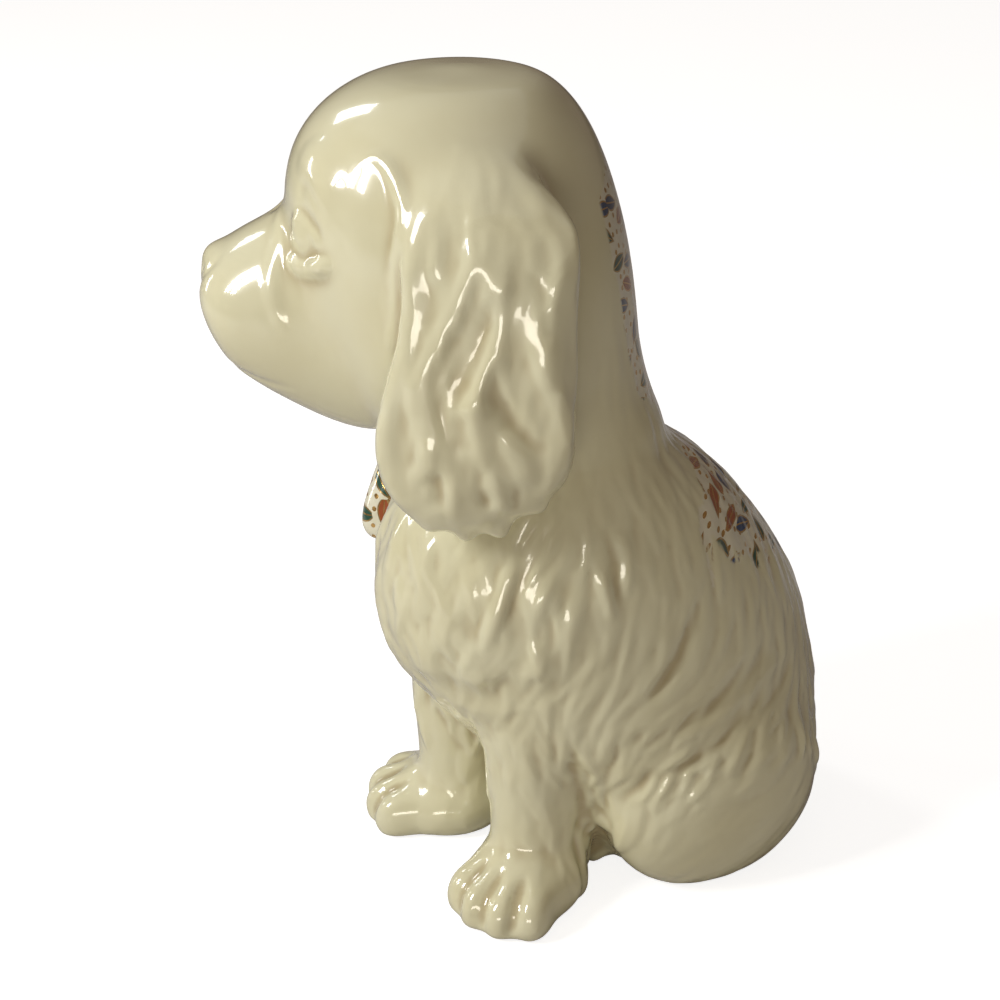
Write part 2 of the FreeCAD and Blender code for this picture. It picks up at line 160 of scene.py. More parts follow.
def remeshed(piece, voxel):
    """The piece as one closed skin of even small faces, without what is inside it."""
    selected(piece)
    remesh = piece.modifiers.new("even_skin", "REMESH")
    remesh.mode = "VOXEL"
    remesh.voxel_size = voxel
    bpy.ops.object.modifier_apply(modifier=remesh.name)
    bpy.ops.object.mode_set(mode="EDIT")
    bpy.ops.mesh.select_all(action="SELECT")
    bpy.ops.mesh.separate(type="LOOSE")
    bpy.ops.object.mode_set(mode="OBJECT")
    lumps = [lump for lump in bpy.context.selected_objects if lump.type == "MESH"]
    outer = max(lumps, key=lambda lump: len(lump.data.vertices))
    for lump in lumps:
        if lump != outer:
            bpy.data.objects.remove(lump)
    return selected(outer)


def read(items, name, width, kind=float):
    """One property of all points or edges of a mesh, a row for each."""
    flat = np.zeros(len(items) * width, kind)
    items.foreach_get(name, flat)
    return flat.reshape(-1, width)


def put(mesh, points):
    """Moves the points of a mesh, in millimetres."""
    mesh.vertices.foreach_set("co", (points * mm).ravel())
    mesh.update()


def mean_of_neighbours(values, edges, count):
    """For each point the mean of a value over the points that it is joined to."""
    columns = values.reshape(len(values), -1)
    total = np.empty_like(columns, dtype=float)
    for column in range(columns.shape[1]):
        value = columns[:, column]
        total[:, column] = (np.bincount(edges[:, 0], value[edges[:, 1]], len(value))
                            + np.bincount(edges[:, 1], value[edges[:, 0]], len(value)))
    return (total / count[:, None]).reshape(values.shape)


def wiped(points, edges, strength, passes):
    """Points smoothed as with a wet sponge: strength is from 0 to 1, for each point or for all."""
    count = np.bincount(edges.ravel(), minlength=len(points)).astype(float)
    strength = np.broadcast_to(strength, len(points))[:, None]
    for _ in range(passes):
        points = points + strength * (mean_of_neighbours(points, edges, count) - points)
    return points


def rubbed(points, edges, passes):
    """Points smoothed without shrinking: each pass in is followed by one out."""
    inward, outward = 0.6, -0.62
    for _ in range(passes):
        points = wiped(points, edges, inward, 1)
        points = wiped(points, edges, outward, 1)
    return points


def smooth_step(low, high, value):
    """From 0 at low to 1 at high, eased at both ends."""
    t = np.clip((value - low) / (high - low), 0.0, 1.0)
    return t * t * (3.0 - 2.0 * t)


# Rolls of clay pressed on before the seams are wiped: the tufts that hang over the ears' lower
# edges, the right ear's lying on the chest. Each is a row of shrinking lumps along a line.
head_place = np.array((0.0, -12.0, 76.0))
head_forward = np.array((-0.5, -0.866, 0.0))
head_left = np.array((0.866, -0.5, 0.0))


def on_head(out, forward, height):
    """A place in the head's own frame: out to its left, forward, and above the neck seam."""
    return head_place + forward * head_forward + out * head_left + np.array((0.0, 0.0, height))


def roll_of_clay(points, radii, lumps=9):
    """A tapering roll: small balls of clay along a line, to be melted into the skin."""
    points = np.array(points, float)
    made = []
    for number in range(lumps):
        at = number / (lumps - 1) * (len(points) - 1)
        low = min(int(at), len(points) - 2)
        place = points[low] + (at - low) * (points[low + 1] - points[low])
        radius = radii[0] + (radii[1] - radii[0]) * number / (lumps - 1)
        bpy.ops.mesh.primitive_ico_sphere_add(subdivisions=2, radius=radius * mm,
                                              location=tuple(place * mm))
        made.append(bpy.context.active_object)
    return made


rolls = []
# Left ear: forward and height of each tuft's root and tip, and the radius of its root
left_root_out, left_tip_out, left_tip_radius = 25.3, 24.8, 1.9
for root, tip, size in (((18.6, 9.0), (19.2, 0.5), 3.0), ((15.0, 6.0), (15.6, -3.8), 3.0),
                        ((10.4, 4.0), (10.4, -5.2), 2.9), ((6.0, 4.5), (5.4, -4.6), 2.8),
                        ((0.8, 8.0), (0.0, -0.6), 2.8), ((-2.6, 13.0), (-3.2, 5.0), 2.6)):
    rolls += roll_of_clay((on_head(left_root_out, *root), on_head(left_tip_out, *tip)),
                          (size, left_tip_radius))
# Right ear: the tufts at its tip, on the chest
right_root_out, right_tip_out, right_tip_radius = -20.0, -17.5, 1.8
for root, tip, size in (((24.0, -8.0), (26.4, -19.0), 2.8), ((20.0, -10.0), (22.0, -22.5), 2.8),
                        ((15.0, -8.0), (16.5, -20.0), 2.8), ((11.0, 0.0), (11.5, -11.0), 2.6)):
    rolls += roll_of_clay((on_head(right_root_out, *root), on_head(right_tip_out, *tip)),
                          (size, right_tip_radius))

clay_parts = [raw_casting(name) for name in castings]
bpy.ops.object.select_all(action="DESELECT")
for part in clay_parts + rolls:
    part.select_set(True)
bpy.context.view_layer.objects.active = clay_parts[0]
bpy.ops.object.join()
clay = remeshed(bpy.context.active_object, clay_voxel)
clay.name = "clay"


def casting_tree(names):
    """One search tree over the faces of some castings, and each face's casting."""
    points, faces, owner = [], [], []
    for number, name in enumerate(names):
        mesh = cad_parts[name].data
        start = len(points)
        points += [vertex.co for vertex in mesh.vertices]
        faces += [[start + corner for corner in face.vertices] for face in mesh.polygons]
        owner += [number] * len(mesh.polygons)
    return BVHTree.FromPolygons(points, faces), np.array(owner)


points = read(clay.data.vertices, "co", 3) / mm
edges = read(clay.data.edges, "vertices", 2, np.int64)
clay_rubs, skin_rubs = 6, 10
points = rubbed(points, edges, clay_rubs)
distances = np.empty((len(points), len(castings)))
for number, name in enumerate(castings):
    tree, _ = casting_tree((name,))
    distances[:, number] = [tree.find_nearest(Vector(place) * mm)[3] / mm for place in points]
order = np.argsort(distances, axis=1)
second = np.take_along_axis(distances, order[:, 1:2], axis=1)[:, 0]
# How far each seam is wiped; the ears keep a sharp edge on the head and the body
plain_seam, ear_seam, ear_root_seam, neck_seam = 4.0, 1.3, 6.0, 7.0
seam_width = np.full((len(castings), len(castings)), plain_seam)
left_ear_number, right_ear_number = castings.index("left_ear"), castings.index("right_ear")
for ear in (left_ear_number, right_ear_number):
    seam_width[ear, :] = ear_seam
    seam_width[:, ear] = ear_seam
head_number, torso_number = castings.index("head"), castings.index("torso")
seam_width[head_number, torso_number] = seam_width[torso_number, head_number] = neck_seam
width_here = seam_width[order[:, 0], order[:, 1]]
at_ear_seam = width_here == ear_seam
wipe_strength = 0.75
strength = wipe_strength * np.exp(-(second / width_here) ** 2)
strength = np.where(at_ear_seam, 0.5 * strength, strength)
# The roots of the ears melt into the skull
ear_root = at_ear_seam * smooth_step(111.0, 119.0, points[:, 2])
strength = np.maximum(strength, wipe_strength * ear_root * np.exp(-(second / ear_root_seam) ** 2))
points = wiped(points, edges, strength, 26)
# The tufts of the chest, the locks of the ears, the toes and the crown melt into their ground
nearest = np.array(castings)[order[:, 0]]
soft = np.where(np.isin(nearest, ("torso", "left_ear", "right_ear")), 0.55, 0.0)
points = wiped(points, edges, soft, 9)
on_paw = np.isin(nearest, ("left_foreleg", "right_foreleg")) * smooth_step(17.0, 12.0, points[:, 2])
points = wiped(points, edges, 0.6 * on_paw, 16)
crown_radius = 7.0
crown = np.linalg.norm(points - on_head(0.0, 12.5, 57.0), axis=1)
points = wiped(points, edges, 0.8 * np.exp(-(crown / crown_radius) ** 2), 26)
ahead = (points - head_place) @ head_forward
jowl = (nearest == "head") * smooth_step(24.0, 30.0, ahead) * smooth_step(47.0, 43.0, ahead)
jowl = jowl * smooth_step(116.0, 110.0, points[:, 2])
points = wiped(points, edges, 0.8 * jowl, 45)
nose = (nearest == "head") * smooth_step(44.0, 46.5, ahead)
points = wiped(points, edges, 0.6 * nose, 8)
points[:, 2] = np.maximum(points[:, 2], 0.0)
put(clay.data, points)
clay = remeshed(clay, skin_voxel)

points = read(clay.data.vertices, "co", 3) / mm
edges = read(clay.data.edges, "vertices", 2, np.int64)
points = rubbed(points, edges, skin_rubs)
points[:, 2] = np.maximum(points[:, 2], 0.0)
put(clay.data, points)
all_tree, face_owner = casting_tree(castings)
label = np.array([face_owner[all_tree.find_nearest(Vector(place) * mm)[2]] for place in points])

# Modelling with the round end of a boxwood tool: each stroke is a line over the skin with a half
# width and a height, pressed in where the height is negative. Strokes of one batch don't add up.
mesh = clay.data
normals = read(mesh.vertices, "normal", 3)
corners = [tuple(face.vertices) for face in mesh.polygons]
skin = BVHTree.FromPolygons(points.tolist(), corners)


def on_skin(place):
    """The nearest place on the skin and its normal."""
    near, normal, _, _ = skin.find_nearest(Vector(place))
    return np.array(near), np.array(normal)


stroke_spacing = 0.6
stroke_taper = 0.25


def dense(line):
    """The line with points at an even small spacing, rounded at its corners."""
    line = np.array(line, float)
    if len(line) == 1:
        return line
    length = np.concatenate(([0.0], np.cumsum(np.linalg.norm(np.diff(line, axis=0), axis=1))))
    count = max(3, int(length[-1] / stroke_spacing) + 1)
    at = np.linspace(0.0, length[-1], count)
    line = np.stack([np.interp(at, length, line[:, axis]) for axis in range(3)], axis=1)
    for _ in range(3):
        line[1:-1] += 0.5 * ((line[:-2] + line[2:]) / 2.0 - line[1:-1])
    return line


def stroke(relief, line, half_width, height):
    """Adds one stroke to a relief, kept where it stands higher or lies deeper than what is there."""
    line = np.array([on_skin(place)[0] for place in dense(line)])
    facing = np.array([on_skin(place)[1] for place in line])
    low, high = line.min(axis=0) - half_width, line.max(axis=0) + half_width
    near = np.flatnonzero(np.all((points > low) & (points < high), axis=1))
    if not len(near):
        return
    gap = np.linalg.norm(points[near][:, None, :] - line[None, :, :], axis=2)
    closest = gap.argmin(axis=1)
    gap = gap[np.arange(len(near)), closest]
    along = closest / max(1, len(line) - 1)
    same_side = np.einsum("ij,ij->i", normals[near], facing[closest]) > 0.1
    ends = 1.0
    if len(line) > 1:
        ends = np.clip(along / stroke_taper, 0.0, 1.0) ** 0.7
        ends = ends * np.clip((1.0 - along) / stroke_taper, 0.0, 1.0) ** 0.7
        ends = 0.15 + 0.85 * ends
    profile = np.clip(1.0 - (gap / (half_width * np.sqrt(ends))) ** 2, 0.0, 1.0) ** 1.3
    value = height * ends * profile * same_side
    if height > 0:
        relief[near] = np.maximum(relief[near], value)
    else:
        relief[near] = np.minimum(relief[near], value)


# The face: the nose, eyes with their lids, brows, the crease from the eye down the cheek, the mouth
# and the ears' rims. Each line's points are out to the side, forward and above the neck seam.
raised = np.zeros(len(points))
pressed = np.zeros(len(points))
EYE_SOCKET = ((11.5, 35.2, 35.8), (15.8, 32.2, 34.6))
EYE_BALL = ((13.0, 34.2, 34.7),)
UPPER_LID = ((10.3, 36.0, 35.8), (11.2, 35.2, 37.4), (13.2, 33.9, 37.5), (15.1, 32.6, 36.3),
             (16.6, 31.4, 34.3))
LID_FOLD = ((10.9, 34.9, 39.0), (13.2, 33.4, 39.0), (15.6, 31.7, 37.6), (17.0, 30.7, 35.6))
LID_EDGE = ((10.6, 36.0, 32.9), (12.6, 34.6, 32.4), (15.0, 32.6, 32.9), (16.9, 31.0, 34.0))
LOWER_LID = ((10.0, 36.2, 31.1), (12.3, 34.3, 30.6), (15.2, 32.2, 31.4), (18.1, 29.4, 32.7))
CHEEK_RIDGE = ((2.9, 38.3, 35.5), (7.1, 38.6, 33.5), (9.4, 38.9, 31.3), (11.3, 39.2, 28.5),
               (12.6, 39.1, 25.6), (13.2, 38.3, 23.2), (13.5, 37.4, 21.0))
BROW_EDGE = ((12.3, 33.7, 42.2), (14.6, 32.3, 40.9), (15.6, 31.6, 38.6))
BROW = ((8.4, 34.6, 46.0), (12.4, 32.2, 46.0), (15.4, 30.4, 43.6), (17.4, 29.2, 40.4))
UNDER_BROW = ((11.0, 34.4, 42.6), (13.4, 33.2, 41.4), (15.8, 31.6, 39.4))
EAR_RIM = ((17.0, 25.1, 47.3), (17.2, 23.1, 48.4), (18.6, 21.1, 47.5), (20.2, 19.6, 45.2),
           (23.0, 18.7, 42.2), (23.9, 19.0, 39.7), (22.9, 19.6, 35.4), (23.0, 19.8, 31.4),
           (22.6, 20.2, 27.1), (21.3, 21.3, 21.2))
EAR_BACK_EDGE = ((21.0, 1.6, 46.9), (21.4, -1.9, 44.7), (22.8, -3.8, 42.1), (24.8, -4.5, 39.2),
                 (26.3, -4.6, 33.0), (26.9, -4.1, 28.0))
STOP = ((0.0, 36.9, 44.0), (0.0, 38.2, 38.5), (0.0, 41.0, 35.0))
NOSTRIL = ((2.6, 51.0, 26.6), (3.6, 50.0, 26.0))
NOSE_EDGE = ((4.6, 47.4, 30.0), (5.0, 48.2, 26.8), (3.6, 49.8, 24.4), (0.0, 51.2, 23.6))
LIP_SPLIT = ((0.0, 51.4, 24.0), (0.0, 51.0, 18.0))
MOUTH = ((0.0, 50.4, 17.0), (4.5, 49.0, 13.6), (8.5, 46.0, 11.2), (11.4, 41.4, 9.6), (13.0, 36.6, 10.0))
for side in (-1.0, 1.0):
    for relief, line, half_width, height in (
            (pressed, EYE_SOCKET, 6.0, -0.6), (pressed, LID_FOLD, 0.9, -0.5),
            (pressed, LID_EDGE, 0.8, -0.45), (pressed, UNDER_BROW, 2.6, -0.3),
            (pressed, NOSTRIL, 1.1, -0.9), (pressed, NOSE_EDGE, 0.8, -0.45), (pressed, MOUTH, 1.0, -0.3),
            (raised, EYE_BALL, 3.5, 1.35), (raised, UPPER_LID, 1.1, 0.85), (raised, LOWER_LID, 1.9, 1.35),
            (raised, CHEEK_RIDGE, 1.5, 0.4), (raised, BROW_EDGE, 1.7, 0.25), (raised, BROW, 4.2, 0.5),
            (raised, EAR_RIM, 1.4, 0.75), (raised, EAR_BACK_EDGE, 1.1, 0.4)):
        stroke(relief, [on_head(side * out, forward, height_at) for out, forward, height_at in line],
               half_width, height)
stroke(pressed, [on_head(*place) for place in STOP], 2.2, -0.6)
stroke(pressed, [on_head(*place) for place in LIP_SPLIT], 0.8, -0.6)

# The grooves between the toes: across the paw, forward of its middle, and height
TOE_GROOVES = (
    ((-3.5, 6.0, 9.0), (-4.1, 9.0, 7.5), (-4.9, 12.6, 3.5), (-5.0, 13.2, 1.2)),
    ((0.0, 6.5, 9.4), (0.0, 10.0, 7.8), (0.0, 13.8, 3.8), (0.0, 14.4, 1.2)),
    ((3.6, 6.0, 9.0), (4.3, 9.0, 7.5), (5.2, 12.4, 3.5), (5.3, 13.0, 1.2)),
)
toe_turn = math.radians(28.0)
paw_out = 13.5
for side, paw_forward in ((1.0, 21.3), (-1.0, 23.1)):
    for groove in TOE_GROOVES:
        line = [(side * (paw_out + across * math.cos(toe_turn) + forward * math.sin(toe_turn)),
                 across * math.sin(toe_turn) - forward * math.cos(toe_turn) - paw_forward, height)
                for across, forward, height in groove]
        stroke(pressed, line, 1.6, -0.75)

# The ears' long wavy locks: forward and height on the left ear, half width, height of the ridge
EAR_RIDGES = (
    (((20.1, 49.4), (18.3, 44.9), (18.4, 39.1), (19.4, 30.6), (20.6, 24.1), (21.9, 20.6), (22.4, 16.5),
      (22.0, 12.9), (21.0, 8.4), (18.8, 2.4), (16.0, -2.4)), 1.8, 0.6),
    (((15.2, 43.0), (15.6, 37.0), (16.0, 30.7)), 1.7, 0.7),
    (((10.7, 48.0), (9.4, 44.4), (8.9, 39.2), (10.3, 34.2), (12.4, 29.9), (15.1, 24.7), (15.7, 19.8),
      (14.4, 14.9), (12.2, 10.4), (11.0, 6.8), (8.9, 3.1), (8.0, -3.0)), 1.7, 0.7),
    (((12.0, 30.5), (12.4, 27.0), (12.5, 22.6)), 1.4, 1.1),
    (((7.5, 46.8), (6.7, 42.5), (7.2, 37.6), (7.9, 33.7)), 1.3, 0.5),
    (((9.9, 33.1), (10.4, 26.3)), 1.2, 0.9),
    (((5.1, 32.7), (6.7, 26.6), (7.1, 22.2), (8.3, 18.5), (8.4, 13.3), (6.6, 9.4)), 1.9, 0.6),
    (((8.2, 19.5), (8.4, 14.8)), 2.8, 0.9),
    (((6.8, 49.6), (3.6, 44.2)), 1.6, 0.5),
    (((4.2, 49.2), (1.6, 47.5), (-0.4, 43.9)), 1.5, 0.6),
    (((1.8, 49.2), (-1.6, 47.6), (-4.0, 44.6), (-4.7, 39.5), (-4.7, 31.5)), 1.3, 0.6),
    (((0.9, 38.3), (0.3, 31.8), (-2.2, 25.9), (-3.9, 20.2), (-4.6, 15.3), (-4.2, 9.8)), 1.6, 0.5),
    (((0.4, 24.2), (-2.5, 18.8)), 1.6, 1.0),
    (((4.4, 13.6), (1.5, 8.4), (-0.4, 3.4)), 2.4, 1.2),
    (((14.7, 12.7), (17.5, 8.0), (18.6, 2.4)), 2.2, 1.4),
    (((16.9, 4.4), (14.5, -3.3)), 1.7, 1.2),
    (((12.9, 5.9), (12.0, -5.2)), 1.6, 1.0),
    (((6.1, 7.1), (3.4, -3.4)), 1.9, 1.2),
    (((3.6, 42.0), (3.2, 36.0), (4.0, 30.0)), 1.3, 0.7),
    (((19.0, 22.0), (18.6, 15.0)), 1.6, 0.8),
)
EAR_FURROWS = (
    (((13.5, 49.1), (13.1, 43.0), (14.1, 35.8), (16.2, 29.0), (17.9, 23.0)), 2.3, -1.1),
    (((6.5, 33.4), (8.8, 27.4), (12.0, 20.9), (12.7, 16.6)), 2.3, -1.5),
    (((5.1, 24.2), (4.7, 17.8), (1.4, 12.1), (-2.0, 9.9)), 1.9, -1.1),
    (((12.1, 16.8), (10.5, 9.5)), 1.8, -1.0),
    (((-0.3, 37.1), (-1.7, 30.2), (-4.2, 25.3)), 1.2, -0.8),
    (((3.1, 34.6), (3.7, 24.0)), 1.6, -0.8),
    (((8.4, 46.4), (7.9, 40.1)), 1.2, -0.8),
    (((14.8, 7.2), (15.7, -2.4)), 1.6, -1.0),
    (((8.6, 8.8), (6.0, -1.7)), 1.5, -1.0),
    (((2.2, 3.8), (1.0, -4.0)), 1.2, -0.8),
)
draped_drop, hanging_drop, ear_root_height = 76.0, 53.5, 49.0
ear_relief = 0.52
# Share of the way down the right ear, and how far it has swung forward or stands out there
DRAPED_SHIFT = ((0.0, 0.0), (0.42, 0.0), (0.55, 1.0), (0.70, 4.0), (0.83, 8.0), (0.92, 12.0), (1.0, 15.0))
DRAPED_OUT = ((0.0, 22.0), (0.12, 28.0), (0.6, 29.0), (0.83, 25.0), (1.0, 20.0))


def on_draped_ear(forward, height):
    """Where a place of the left ear lies on the right ear, which is longer and swings forward."""
    share = (ear_root_height - height) / hanging_drop
    shift = np.interp(share, *zip(*DRAPED_SHIFT))
    out = np.interp(share, *zip(*DRAPED_OUT))
    return on_head(-out, forward * 0.9 + shift, ear_root_height - share * draped_drop)


beside_left_ear = 34.0
for rows, relief in ((EAR_RIDGES, raised), (EAR_FURROWS, pressed)):
    for line, half_width, height in rows:
        rise = ear_relief * height
        stroke(relief, [on_head(beside_left_ear, *place) for place in line], half_width * 1.1, rise)
        stroke(relief, [on_draped_ear(*place) for place in line], half_width * 1.15, rise)

# Hair on body, chest, legs and tail: pointed locks pulled out of the clay along the lie of the coat.
# Each mark gives a place on the left side, or on the tail, and which way the coat lies there.
COMB_MARKS = (
    ((0, 6, 112), (0.0, 0.3, -1)), ((0, 8, 90), (0.0, 0.15, -1)), ((12, -4, 92), (0.1, 0.1, -1)),
    ((0, 12, 76), (0.1, 0.7, -1)), ((10, 12, 72), (0.3, 0.6, -1)), ((0, 25, 60), (0, 0.45, -1)),
    ((0, 35, 40), (0, 0.1, -1)), ((0, 36, 18), (0, -0.15, -1)), ((14, 24, 56), (0.2, 0.2, -1)),
    ((18, -2, 72), (0.35, 0.25, -1)), ((22, -8, 64), (0.12, 0.12, -1)), ((24, -13, 54), (0, -0.15, -1)),
    ((25, -14, 44), (-0.1, -0.5, -0.8)), ((18, -26, 62), (0.1, -0.35, -1)), ((17, -31, 48), (0, -0.25, -1)),
    ((23, 8, 62), (0.2, 0.15, -1)), ((27, 14, 50), (0, -0.1, -1)), ((25, 3, 48), (0, -0.35, -1)),
    ((27, 8, 39), (0, -0.8, -0.7)), ((26, -4, 34), (-0.1, -0.85, -0.6)), ((25, 22, 44), (0, -0.25, -1)),
    ((25, 28, 32), (0, -0.4, -0.9)), ((27, 18, 34), (0, -0.8, -0.6)), ((20, -8, 24), (-0.2, -0.6, -0.8)),
    ((0, -42, 62), (0, 0, -1)), ((9, -39, 58), (0.12, 0.0, -1)), ((14, -35, 52), (0.1, 0.1, -1)),
    ((9, -36, 44), (-0.1, 0.3, -1)), ((0, -38, 46), (0, 0.3, -1)),
    ((19, -16, 28), (0, 0.25, -1)), ((16, -9, 20), (0, 0.1, -1)), ((12, -26, 20), (0, 0, -1)),
    ((30, 10, 18), (0, -0.9, -0.4)), ((-20, 32, 6), (-0.9, -0.4, 0)), ((-33, 5, 6), (-0.1, -1, 0)),
)
comb_places = []
comb_ways = []
for place, way in COMB_MARKS:
    for side in (1.0, -1.0):
        if side < 0 and place[0] < 0.1:
            continue
        comb_places.append((side * place[0], place[1], place[2]))
        comb_ways.append(np.array((side * way[0], way[1], way[2])) / np.linalg.norm(way))
comb_places = np.array(comb_places, float)
comb_ways = np.array(comb_ways)


def lie_of_coat(place, normal):
    """Which way the coat lies at a place, along the skin."""
    weight = 1.0 / (np.sum((comb_places - place) ** 2, axis=1) + 9.0) ** 2
    way = weight @ comb_ways
    way = way - normal * (way @ normal)
    return way / max(1e-6, np.linalg.norm(way))


skin_search = KDTree(len(points))
for number, place in enumerate(points):
    skin_search.insert(place, number)
skin_search.balance()


def lock(relief, root, length, half_width, height, sway, phase):
    """One pointed lock: it rises from its root and ends in a lifted tip."""
    steps = max(6, int(length / 0.9))
    place, normal = on_skin(root)
    line, facing, across = [], [], []
    for step in range(steps + 1):
        way = lie_of_coat(place, normal)
        side = np.cross(normal, way)
        way = way + side * sway * math.sin(phase + 5.0 * step / steps)
        way /= np.linalg.norm(way)
        line.append(place)
        facing.append(normal)
        across.append(np.cross(normal, way))
        place, normal = on_skin(place + way * length / steps)
    line, facing, across = np.array(line), np.array(facing), np.array(across)
    found = skin_search.find_range(Vector(line[steps // 2]), length * 0.5 + half_width)
    near = {number for _, number, _ in found}
    near = np.fromiter(near, np.int64, len(near))
    if not len(near):
        return
    away = points[near][:, None, :] - line[None, :, :]
    gap = np.einsum("ijk,ijk->ij", away, away)
    closest = gap.argmin(axis=1)
    pick = (np.arange(len(near)), closest)
    beside = np.einsum("ij,ij->i", away[pick], across[closest])
    past = np.sqrt(np.maximum(gap[pick] - beside ** 2, 0.0))
    along = closest / steps
    width = half_width * np.clip(along / 0.3 + 0.2, 0.0, 1.0) ** 0.6
    width = width * (1.0 - np.clip((along - 0.5) / 0.5, 0.0, 1.0) ** 1.7)
    v = beside / np.maximum(width, 0.05)
    body = np.clip(1.0 - v * v, 0.0, 1.0) ** 0.8
    strand = 1.0 + 0.10 * np.cos(2.6 * math.pi * v)
    rise = (0.25 + 0.75 * smooth_step(0.0, 0.55, along)) * (1.0 - 0.6 * smooth_step(0.85, 1.0, along))
    same_side = (np.einsum("ij,ij->i", normals[near], facing[closest]) > 0.2) & (past < 1.2)
    value = height * rise * body * strand * same_side
    relief[near] = np.maximum(relief[near], value)


def coat_here(place, part):
    """Length, half width and height of the locks at a place, and the sway of their lines."""
    x, y, z = place
    if part in ("left_ear", "right_ear"):
        return 14.0, 0.85, 0.30, 0.3
    if part == "head":
        behind = smooth_step(0.0, -10.0, (np.array(place) - head_place) @ head_forward)
        low = smooth_step(112.0, 92.0, z)
        return 15.0, 1.6, 0.05 + 0.3 * behind * low, 0.2
    if part in ("left_foreleg", "right_foreleg"):
        if z < 15.0:
            return None
        behind = smooth_step(-22.0, -14.0, y)
        return 10.0, 1.3, 0.14 + 0.45 * behind, 0.3
    if part == "tail":
        return 13.0, 1.8, 0.6, 0.3
    if part in ("left_thigh", "right_thigh"):
        return 12.0, 1.6, 0.12 + 0.4 * smooth_step(20.0, 30.0, z), 0.2
    if part != "torso" or z < 6.0:
        return None
    chest = smooth_step(-14.0, -28.0, y) * smooth_step(38.0, 44.0, z)
    low = smooth_step(46.0, 32.0, z)
    return (14.0 - 3.0 * low, 1.25 + 0.35 * chest, 0.38 + 0.3 * low + 0.1 * chest,
            0.2 + 0.35 * chest + 0.2 * low)


def combed(share_of_room, wider, higher, tries, chance):
    """One layer of locks over the whole coat, laid at random but never too close together."""
    coat = np.zeros(len(points))
    kept = np.zeros((0, 3))
    for number in chance.permutation(len(points))[:tries]:
        settings = coat_here(points[number], castings[label[number]])
        if settings is None or settings[2] < 0.12:
            continue
        length, half_width, height, sway = settings
        length, half_width, height = length * wider ** 0.5, half_width * wider, height * higher
        room = share_of_room * math.sqrt(length * half_width)
        if len(kept) and np.min(np.sum((kept - points[number]) ** 2, axis=1)) < room * room:
            continue
        kept = np.vstack((kept, points[number]))
        lock(coat, points[number], length * chance.uniform(0.8, 1.2),
             half_width * chance.uniform(0.8, 1.25), height * chance.uniform(0.7, 1.2), sway,
             chance.uniform(0.0, 6.28))
    return coat


chance = np.random.default_rng(7)
broad_coat = combed(0.60, 2.3, 0.95, 9000, chance)
fine_coat = combed(0.62, 1.0, 0.75, 24000, chance)
on_ear = np.isin(label, (left_ear_number, right_ear_number))
broad_coat[on_ear] = 0.0
coat = broad_coat + fine_coat

# Body strokes that the coat doesn't give by itself: the fringe over the forelegs, the deep folds
# from the flank to the elbow, and the lumps of hair between foreleg and thigh
BODY_STROKES = (
    (((20.7, 20.5, 41.1), (25, 10.1, 38.7), (26.6, 1.9, 35.5), (26.1, -5.9, 32)), 3.0, -0.5),
    (((22, 28, 37), (26.5, 18, 35), (28, 8, 31.5), (27, -1, 27.5)), 3.0, -0.5),
    (((23.2, 3, 54), (25.1, -1.4, 45.6), (25.5, -6.8, 40.1)), 1.8, -0.7),
    (((20.7, -10.9, 69.5), (22.1, -9.3, 63.9), (22.8, -10, 57)), 1.6, 0.9),
    (((21.8, -14.3, 63.4), (23.7, -12.5, 53.2)), 1.7, 1.0),
    (((17.3, -25.4, 67), (17.5, -28.5, 59.2), (16.4, -31.2, 48.5)), 2.3, 1.4),
    (((17.3, -10.2, 15.5),), 3.6, 1.3), (((16.8, -12.6, 9.5),), 2.8, 0.9),
    (((4, -36, 42), (9, -35, 41.5), (13, -32, 41), (17, -26, 43), (21, -19, 45)), 3.6, -0.5),
)
for line, half_width, height in BODY_STROKES:
    for side in (1.0, -1.0):
        stroke(raised if height > 0 else pressed,
               [(side * place[0], place[1], place[2]) for place in line], half_width, height)

relief = np.maximum(raised, coat) + pressed
count = np.bincount(edges.ravel(), minlength=len(points)).astype(float)
relief = relief + 0.5 * (mean_of_neighbours(relief, edges, count) - relief)
# The glaze softens the small forms of the face and of the ears
filled = 0.2 * (label == head_number) + 0.25 * on_ear
for _ in range(8):
    relief = relief + filled * (mean_of_neighbours(relief, edges, count) - relief)
# What the hair adds on the whole is taken back, so the figure keeps the outline of its castings
mean_relief = coat.copy()
mean_passes = 90
for _ in range(mean_passes):
    mean_relief = mean_relief + 0.9 * (mean_of_neighbours(mean_relief, edges, count) - mean_relief)
relief = relief - mean_relief
sole_height = 0.4
relief[points[:, 2] < sole_height] = 0.0
points = points + normals * relief[:, None]
points = wiped(points, edges, 0.5, 3)
points[:, 2] = np.maximum(points[:, 2], 0.0)
put(mesh, points)

# The glaze pools in the hollows, where it is thicker and darker, and shade is painted there too:
# how deep each point lies under the skin's mean level round it, from a fine and a broad comparison.
normals = read(mesh.vertices, "normal", 3)
level = wiped(points, edges, 0.9, 18)
hollow = np.einsum("ij,ij->i", level - points, normals)
broad = wiped(level, edges, 0.9, 60)
broad_hollow = np.einsum("ij,ij->i", broad - points, normals)

# Where the painter's sprigs go: a saddle on the back, a strip down the nape and the tip of the right
# ear. The lifted locks stay cream, so hair breaks the edge and the middle of each patch.
x, y, z = points.T
at_head = points - head_place
head_out, head_ahead, head_high = at_head @ head_left, at_head @ head_forward, at_head[:, 2]
down_back = 0.62 * y - 0.78 * z
outside = -9.0
